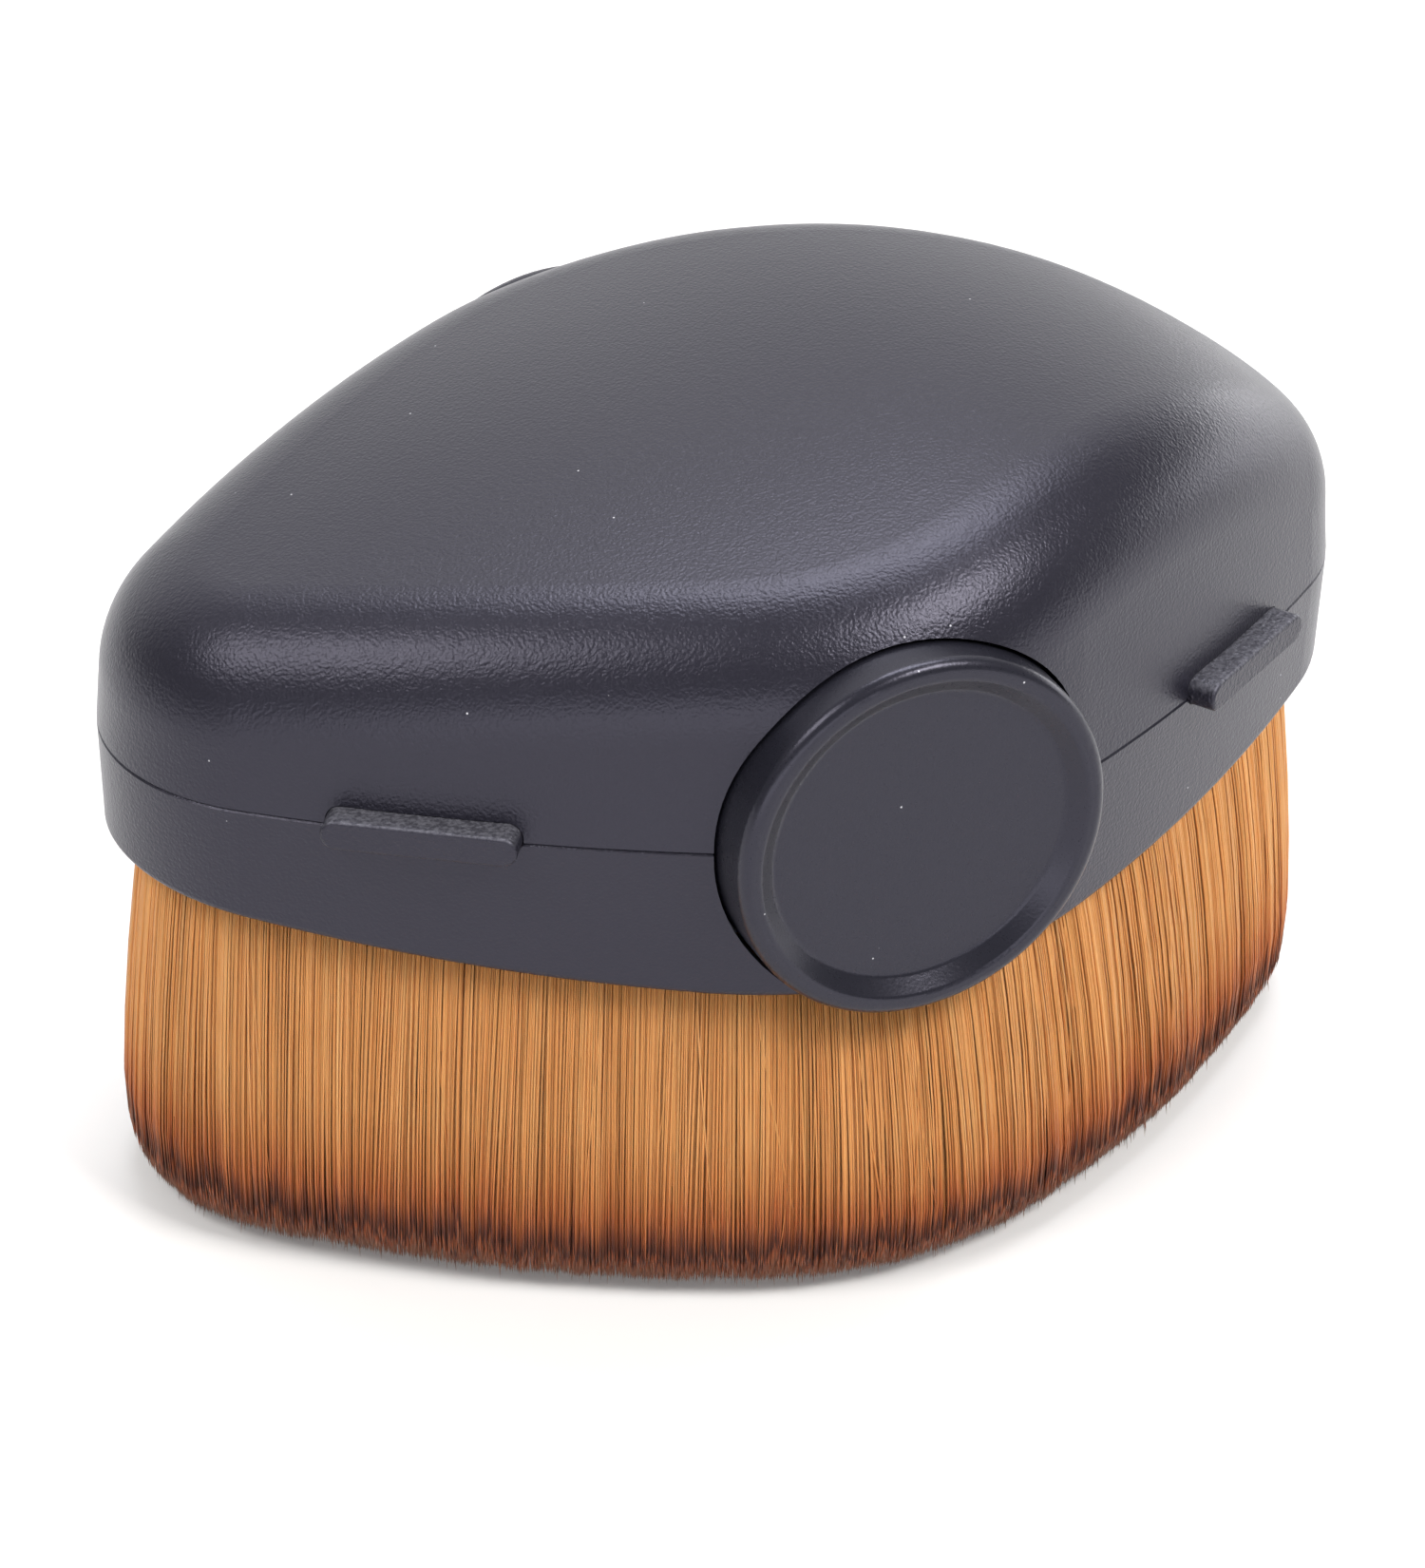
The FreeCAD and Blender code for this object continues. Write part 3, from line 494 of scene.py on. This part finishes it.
def smooth_wave(distance, pitch, seed):
    """Smooth random offsets along the outline, one new value per pitch."""
    count = max(8, int(PERIMETER / pitch))
    values = np.random.default_rng(seed).normal(size=count)
    position = np.mod(distance, PERIMETER) / PERIMETER * count
    low = np.floor(position).astype(int)
    share = position - low
    share = share * share * (3 - 2 * share)
    return values[low % count] * (1 - share) + values[(low + 1) % count] * share


def write_point_values(mesh, along, tint):
    """Values per vertex that the fibre material reads."""
    for key, values in (("along", along), ("tint", tint)):
        layer = mesh.attributes.new(key, "FLOAT", "POINT")
        layer.data.foreach_set("value", values.astype(np.float32).ravel())


def add_object(name, mesh, material):
    """Object in the scene that shows a finished mesh."""
    mesh.materials.append(material)
    piece = bpy.data.objects.new(name, mesh)
    bpy.context.scene.collection.objects.link(piece)
    return piece


def strand_mesh(name, centres, widths, side_angle, tint, along, material):
    """Three-sided tapered strands. centres is strands x rings x 3, last ring the apex."""
    count, rings = centres.shape[0], centres.shape[1] - 1
    corner = side_angle[:, None] + np.arange(3)[None, :] * (2 * math.pi / 3)
    offset = np.stack([np.cos(corner), np.sin(corner), np.zeros_like(corner)], -1)
    ring = (centres[:, :rings, None, :]
            + offset[:, None] * widths[:, :, None, None] * TRIANGLE_CORNER)
    apex = centres[:, rings:, :]
    verts = np.concatenate([ring.reshape(count, rings * 3, 3), apex], axis=1)
    per = rings * 3 + 1
    quads = []
    for r in range(rings - 1):
        for c in range(3):
            d = (c + 1) % 3
            quads.append([r * 3 + c, r * 3 + d, r * 3 + 3 + d, r * 3 + 3 + c])
    last = (rings - 1) * 3
    tris = [[last + c, last + (c + 1) % 3, per - 1] for c in range(3)]
    tris.append([2, 1, 0])
    base = (np.arange(count) * per)[:, None, None]
    quads = (base + np.array(quads)[None]).reshape(-1)
    tris = (base + np.array(tris)[None]).reshape(-1)
    loops = np.concatenate([quads, tris])
    sizes = np.concatenate([np.full(len(quads) // 4, 4), np.full(len(tris) // 3, 3)])
    starts = np.concatenate([[0], np.cumsum(sizes)[:-1]])
    mesh = bpy.data.meshes.new(name)
    mesh.vertices.add(count * per)
    mesh.vertices.foreach_set("co", verts.astype(np.float32).ravel())
    mesh.loops.add(len(loops))
    mesh.loops.foreach_set("vertex_index", loops.astype(np.int32))
    mesh.polygons.add(len(sizes))
    mesh.polygons.foreach_set("loop_start", starts.astype(np.int32))
    mesh.update(calc_edges=True)
    mesh.polygons.foreach_set("use_smooth", np.ones(len(sizes), dtype=bool))
    ring_along = np.repeat(along[:, :rings, None], 3, axis=2).reshape(count, rings * 3)
    vertex_along = np.concatenate([ring_along, along[:, rings:]], axis=1)
    vertex_tint = np.repeat(tint[:, None], per, axis=1)
    write_point_values(mesh, vertex_along, vertex_tint)
    mesh.validate()
    return add_object(name, mesh, material)


def end_height(depth):
    """Height of the bundle's rounded end over the floor, at a depth inside its outline."""
    share = np.clip(1 - depth / END_ROUNDING, 0.0, 1.0)
    return END_ROUNDING * (1 - np.sqrt(np.maximum(1 - share ** 2, 0.0)))


def outer_strands(layer):
    """One layer of strands, from the rim to the rounded end."""
    count = int(PERIMETER / STRAND_PITCH)
    place = (np.arange(count) + rng.uniform(-0.5, 0.5, count)) * (PERIMETER / count)
    depth = layer * LAYER_STEP + rng.uniform(0.0, LAYER_STEP, count)
    drift = smooth_wave(place, TUFT_PITCH, TUFT_SEED) * TUFT_DRIFT_MM * MM
    drift += smooth_wave(place, CLUMP_PITCH, CLUMP_SEED + layer) * CLUMP_DRIFT_MM * MM
    drift += rng.normal(0.0, OWN_DRIFT, count)
    stray = rng.random(count) < STRAY_SHARE
    drift = np.where(stray, drift + rng.normal(0.0, STRAY_DRIFT, count), drift)
    root_x, root_y = leaf(place, ROOT_INSET + depth)
    root_z = root_height(root_x, root_y)
    end_x, _ = leaf(place + drift, 0.0)
    end_depth = depth * DEPTH_SPREAD
    end_inset = tip_inset(end_x) + end_depth + rng.normal(0.0, 0.06 * MM, count)
    end_z = end_height(end_depth) + np.abs(rng.normal(0.0, 0.05 * MM, count))
    end_z += (smooth_wave(place, END_WAVE_PITCH, END_SEED) * END_WAVE_MM * MM
              + END_WAVE_MM * MM)
    end_z = np.maximum(end_z, LOWEST_END)
    steps = np.append(STRAND_STEPS, 1.0)
    centres = np.empty((count, len(steps), 3))
    for k, t in enumerate(steps):
        flare = 1 - (1 - t) ** FLARE_POWER
        curl = max(0.0, (t - CURL_START) / CURL_SPAN) ** 2 * CURL_MM * MM
        inset = (ROOT_INSET + depth) * (1 - flare) + end_inset * flare + curl
        x, y = leaf(place + drift * t ** DRIFT_POWER, inset)
        centres[:, k, 0] = x
        centres[:, k, 1] = y
        centres[:, k, 2] = root_z * (1 - t) + end_z * t
    thickness = STRAND_WIDTH * rng.uniform(0.75, 1.25, count)
    taper = np.interp(STRAND_STEPS, *TAPER)
    widths = thickness[:, None] * taper[None, :]
    # Painted shade: strands deeper in the bundle get a lower tint, darker and redder, like
    # the shaded gaps between strands.
    tint = np.clip(0.58 + smooth_wave(place, 1.1 * MM, TINT_SEED) * 0.06
                   + rng.normal(0.0, 0.08, count) - depth / MM * 0.26, 0.0, 1.0)
    along = np.broadcast_to(steps, (count, len(steps))).copy()
    return centres, widths, rng.uniform(0, 2 * math.pi, count), tint, along


def fill_strands():
    """Short free ends all over the underside."""
    span_x = np.arange(-HALF_LENGTH, HALF_LENGTH, FILL_PITCH)
    span_y = np.arange(-HALF_LENGTH, HALF_LENGTH, FILL_PITCH)
    x, y = [a.ravel() for a in np.meshgrid(span_x, span_y)]
    x = x + rng.uniform(-0.5, 0.5, len(x)) * FILL_PITCH
    y = y + rng.uniform(-0.5, 0.5, len(y)) * FILL_PITCH
    depth = depth_inside(x, y)
    keep = depth > CORE_INSET * 0.8
    x, y, depth = x[keep], y[keep], depth[keep]
    count = len(x)
    low = end_height(depth) + np.abs(rng.normal(0.0, 0.15 * MM, count)) + 0.03 * MM
    steps = np.array([0.0, 0.55, 1.0])
    lean = rng.normal(0.0, 0.25 * MM, (count, 2))
    centres = np.empty((count, len(steps), 3))
    for k, t in enumerate(steps):
        centres[:, k, 0] = x + lean[:, 0] * t
        centres[:, k, 1] = y + lean[:, 1] * t
        centres[:, k, 2] = low + STRAND_FILL_LENGTH * (1 - t)
    widths = (STRAND_WIDTH * FILL_WIDTH * rng.uniform(0.8, 1.3, count)[:, None]
              * np.array([[1.0, 0.8]]))
    tint = np.clip(rng.normal(0.5, 0.2, count), 0, 1)
    along = np.broadcast_to(np.array([0.80, 0.91, 1.0]), (count, 3)).copy()
    return centres, widths, rng.uniform(0, 2 * math.pi, count), tint, along


def depth_inside(x, y):
    """Depth of points inside the bundle's lower outline (negative outside)."""
    distance = np.linspace(0, PERIMETER, OUTLINE_SAMPLES, endpoint=False)
    edge_x, _ = leaf(distance, 0.0)
    edge_x, edge_y = leaf(distance, tip_inset(edge_x))
    after = np.stack([np.roll(edge_x, -1) - edge_x, np.roll(edge_y, -1) - edge_y], -1)
    best = np.full(len(x), np.inf)
    side = np.zeros(len(x))
    for k in range(len(distance)):
        gap_x, gap_y = x - edge_x[k], y - edge_y[k]
        reach = np.hypot(gap_x, gap_y)
        cross = after[k, 0] * gap_y - after[k, 1] * gap_x
        closer = reach < best
        best = np.where(closer, reach, best)
        side = np.where(closer, np.sign(cross), side)
    return best * side


def build_core(material):
    """Closed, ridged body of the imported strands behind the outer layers."""
    around = CORE_SAMPLES
    distance = np.arange(around) * (PERIMETER / around)
    ridge = smooth_wave(distance, 0.7 * MM, RIDGE_SEED) * 0.10 * MM
    seam_x, _ = leaf(distance, 0.0)
    root_top = root_height(*leaf(distance, ROOT_INSET))
    rows = []
    alongs = []
    for t, pull in CORE_LEVELS:
        flare = 1 - (1 - t) ** FLARE_POWER
        inset = ((ROOT_INSET + CORE_INSET) * (1 - flare)
                 + (tip_inset(seam_x) + CORE_INSET) * flare + ridge * t + pull * MM)
        inset += BUTTON_RELIEF * np.exp(-(seam_x / BUTTON_RELIEF_REACH) ** 2) * (1 - t)
        x, y = leaf(distance, inset)
        top = np.minimum(root_top, root_height(x, y))
        z = top * (1 - t) + BOTTOM_CLEARANCE * t
        rows.append(np.stack([x, y, z], -1))
        alongs.append(np.full(around, t))
    # The cap is flat and lies below the wells, so that a pressed button doesn't meet it.
    cap_x, cap_y = leaf(distance, ROOT_INSET + CORE_INSET + CAP_STEP)
    rows.insert(0, np.stack([cap_x, cap_y, np.full(around, rows[0][:, 2].min())], -1))
    alongs.insert(0, np.zeros(around))
    verts = np.concatenate(rows)
    faces = []
    for r in range(len(rows) - 1):
        for k in range(around):
            n = (k + 1) % around
            faces.append([r * around + k, (r + 1) * around + k, (r + 1) * around + n,
                          r * around + n])
    faces.append(list(range(around)))
    bottom = (len(rows) - 1) * around
    faces.append([bottom + k for k in reversed(range(around))])
    mesh = bpy.data.meshes.new("bristle_core")
    mesh.from_pydata(verts.tolist(), [], faces)
    mesh.update()
    write_point_values(mesh, np.concatenate(alongs), np.full(len(verts), CORE_TINT))
    return add_object("bristle_core", mesh, material)


def quarter_of(centres):
    """0 to 3: which side of the bundle each strand stands on."""
    return (centres[:, 0, 0] > 0).astype(int) + 2 * (centres[:, 0, 1] > 0).astype(int)


def build_bristles():
    """Strands in four pieces, short ends below and the core, in place of the CAD bundle."""
    fibre = bristle_fibre("bristle_fibre")
    parts = [outer_strands(layer) for layer in range(STRAND_LAYERS)]
    merged = [np.concatenate(arrays) for arrays in zip(*parts)]
    quarter = quarter_of(merged[0])
    names = ("bristles_front_left", "bristles_front_right", "bristles_rear_left",
             "bristles_rear_right")
    pieces = []
    for k, name in enumerate(names):
        chosen = quarter == k
        pieces.append(strand_mesh(name, *[m[chosen] for m in merged], fibre))
    pieces.append(strand_mesh("bristle_ends", *fill_strands(), fibre))
    pieces.append(build_core(bristle_fibre("bristle_core_fibre", core=True)))
    for piece in pieces:
        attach(piece, "brush_head")
        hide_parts("bristles")


# ---------------------------------------------------------------- stage

def gaze(azimuth, elevation):
    """Unit direction. Azimuth 0 is the front button's side, -Y, and 90 is +X."""
    az, el = math.radians(azimuth), math.radians(elevation)
    return Vector((math.sin(az) * math.cos(el), -math.cos(az) * math.cos(el), math.sin(el)))


def build_camera():
    """Camera aimed at the middle of the seam plane, then moved sideways and up unturned."""
    back = gaze(CAMERA_AZIMUTH, CAMERA_ELEVATION)
    right = Vector((0, 0, 1)).cross(back).normalized()
    up = back.cross(right)
    roll = math.radians(CAMERA_ROLL)
    c, s = math.cos(roll), math.sin(roll)
    turned_right = right * c + up * s
    turned_up = up * c - right * s
    place = (Vector((0, 0, SEAM_Z)) + right * CAMERA_RIGHT + up * CAMERA_UP
             + back * CAMERA_DISTANCE)
    data = bpy.data.cameras.new("camera")
    data.lens = CAMERA_LENS
    data.sensor_width = CAMERA_SENSOR
    data.sensor_fit = "AUTO"
    data.clip_start = 0.01
    data.clip_end = 20.0
    camera = bpy.data.objects.new("camera", data)
    bpy.context.scene.collection.objects.link(camera)
    columns = (turned_right, turned_up, back)
    turn = Matrix([[col[row] for col in columns] for row in range(3)])
    camera.matrix_world = Matrix.Translation(place) @ turn.to_4x4()
    bpy.context.scene.camera = camera


def build_floor():
    """Plain pale floor, wide enough for every view."""
    material, nodes, shader = new_material("pale_floor")
    nodes.tree.nodes.remove(shader)
    output = [n for n in nodes.tree.nodes if n.bl_idname == "ShaderNodeOutputMaterial"][0]
    matte = nodes.add("BsdfDiffuse")
    matte.inputs["Color"].default_value = (*FLOOR_COLOUR, 1.0)
    glow = nodes.add("Emission")
    both = nodes.add("AddShader")
    path = nodes.add("LightPath")
    reach = nodes.add("VectorMath", operation="LENGTH")
    nodes.link(nodes.add("TexCoord").outputs["Object"], reach.inputs[0])
    level = nodes.range(reach.outputs["Value"], FLOOR_NEAR, FLOOR_FAR, FLOOR_NEAR_GLOW, 1.0)
    seen = nodes.math("MULTIPLY", path.outputs["Is Camera Ray"], level)
    nodes.link(seen, glow.inputs["Strength"])
    nodes.link(matte.outputs["BSDF"], both.inputs[0])
    nodes.link(glow.outputs["Emission"], both.inputs[1])
    nodes.link(both.outputs["Shader"], output.inputs["Surface"])
    half = FLOOR_HALF
    mesh = bpy.data.meshes.new("floor")
    mesh.from_pydata([(-half, -half, 0), (half, -half, 0), (half, half, 0), (-half, half, 0)],
                     [], [(0, 1, 2, 3)])
    floor = add_object("floor", mesh, material)
    # The brush stands on its bristles, so the floor stays under them when the head comes off.
    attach(floor, "brush_head")


def softbox(name, azimuth, elevation, width, height, level, colour):
    """Area lamp that looks at the brush from one metre, with an even surface level."""
    away = gaze(azimuth, elevation)
    data = bpy.data.lights.new(name, "AREA")
    data.shape = "RECTANGLE"
    data.size = width
    data.size_y = height
    data.energy = level * width * height * math.pi
    data.color = colour
    lamp = bpy.data.objects.new(name, data)
    lamp.location = Vector((0, 0, SEAM_Z)) + away
    lamp.rotation_euler = away.to_track_quat("Z", "Y").to_euler()
    bpy.context.scene.collection.objects.link(lamp)


def build_light():
    """Pale surroundings, brightest behind the brush and to its right, dark overhead."""
    world = bpy.data.worlds.new("studio")
    bpy.context.scene.world = world
    world.use_nodes = True
    nodes = Nodes(world.node_tree)
    output = nodes.add("OutputWorld")
    background = nodes.add("Background")
    nodes.link(background.outputs["Background"], output.inputs["Surface"])
    direction = nodes.add("TexCoord").outputs["Generated"]
    facing = nodes.add("VectorMath", operation="DOT_PRODUCT")
    facing.inputs[1].default_value = gaze(*WORLD_BRIGHT)
    nodes.link(direction, facing.inputs[0])
    strength = nodes.range(facing.outputs["Value"], *WORLD_COSINES, *WORLD_LEVELS)
    seen = nodes.add("LightPath").outputs["Is Camera Ray"]
    nodes.link(nodes.math("MAXIMUM", strength, seen), background.inputs["Strength"])
    background.inputs["Color"].default_value = (1.0, 1.0, 1.0, 1.0)
    for lamp in LAMPS:
        softbox(*lamp)


dress_cad_nodes()
build_bristles()
build_camera()
build_floor()
build_light()
bpy.context.scene.view_settings.view_transform = "Standard"
